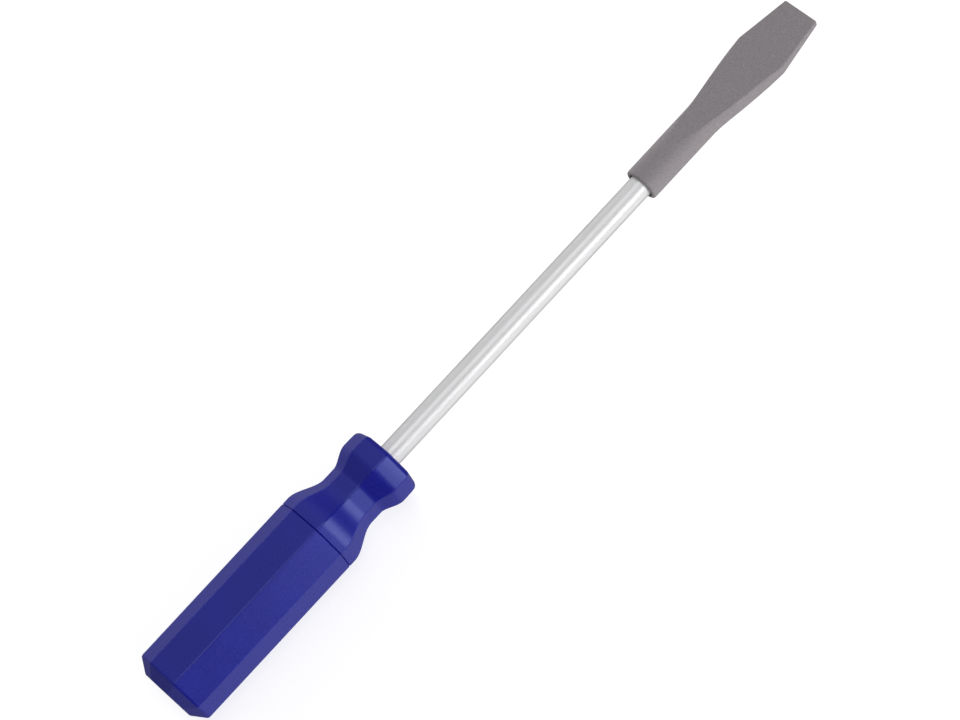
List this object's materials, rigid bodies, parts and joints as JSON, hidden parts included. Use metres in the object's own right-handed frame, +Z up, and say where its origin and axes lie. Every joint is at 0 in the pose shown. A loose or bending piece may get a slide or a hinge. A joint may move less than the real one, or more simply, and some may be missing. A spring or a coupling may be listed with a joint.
{
  "type": "slotted screwdriver",
  "caption": "Large slotted screwdriver with a blue octagonal handle, a round satin shaft and a grey socketed blade head.",
  "frame": {"origin": "centre of the tool's footprint, at the height of the handle's lower flat", "axes": "+X along the shaft from the butt to the tip, +Z up out of the broad face of the blade and the handle's upper flat"},
  "size_m": [0.3518, 0.0314, 0.0314],
  "materials": {
    "handle_plastic": "satin",
    "core_plastic": "matt",
    "shaft_steel": "satin",
    "blade_grey": "matt",
    "zinc_steel": "bright",
    "seal_rubber": "matt"
  },
  "bodies": {
    "driver": {"neck": "handle_plastic", "core": "core_plastic", "core_screws": "zinc_steel", "ring_seal": "seal_rubber", "shaft": "shaft_steel", "shaft_screw": "zinc_steel", "spring_washer": "zinc_steel", "flat_washer": "zinc_steel", "blade": "blade_grey"},
    "rear_grip": {"grip": "handle_plastic"}
  },
  "joints": [
    {"name": "grip_pull", "type": "slide", "parent": "driver", "child": "rear_grip", "axis": [-1, 0, 0], "range_m": [0, 0.04]}
  ]
}
